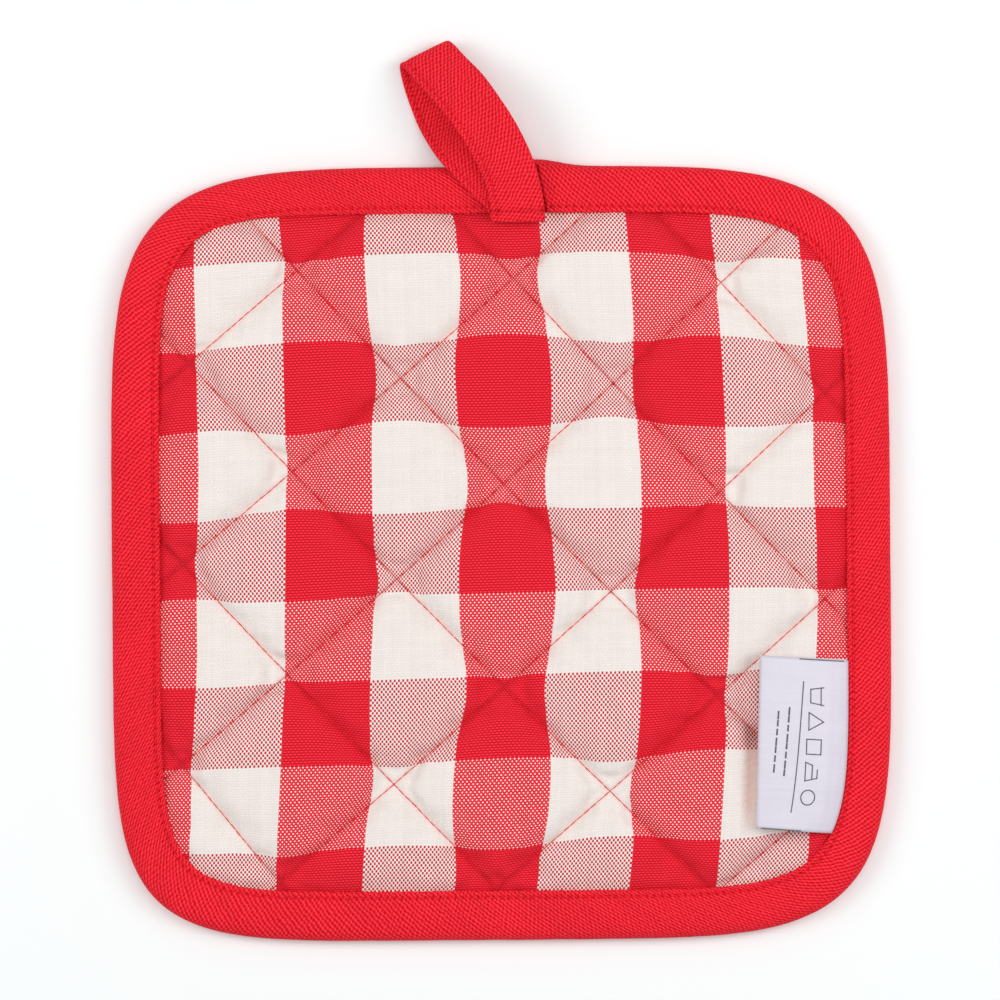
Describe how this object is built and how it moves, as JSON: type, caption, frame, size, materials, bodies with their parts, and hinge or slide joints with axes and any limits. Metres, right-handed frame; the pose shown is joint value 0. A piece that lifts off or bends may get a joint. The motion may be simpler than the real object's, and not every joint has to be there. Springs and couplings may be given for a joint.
{
  "type": "pot holder",
  "caption": "Square quilted pot holder in checked cloth with bound edges, rounded corners, a folded side label and a hanging loop at its top edge, lying on its back.",
  "frame": {"origin": "the middle of the underside, on the surface that the pot holder lies on", "axes": "+Z out of the checked face, +Y from the middle towards the edge with the hanging loop, +X towards the edge with the label"},
  "size_m": [0.2035, 0.2353, 0.0144],
  "materials": {
    "gingham": "plain-weave cotton in bright red and cream checks, matt",
    "red_tape": "bright red plain-weave cotton tape cut on the bias, matt",
    "label_ribbon": "pale lilac-white satin ribbon, soft sheen"
  },
  "bodies": {
    "root": {"quilted_pad": "gingham", "binding": "red_tape", "hanging_loop": "red_tape", "label": "label_ribbon"}
  },
  "joints": []
}
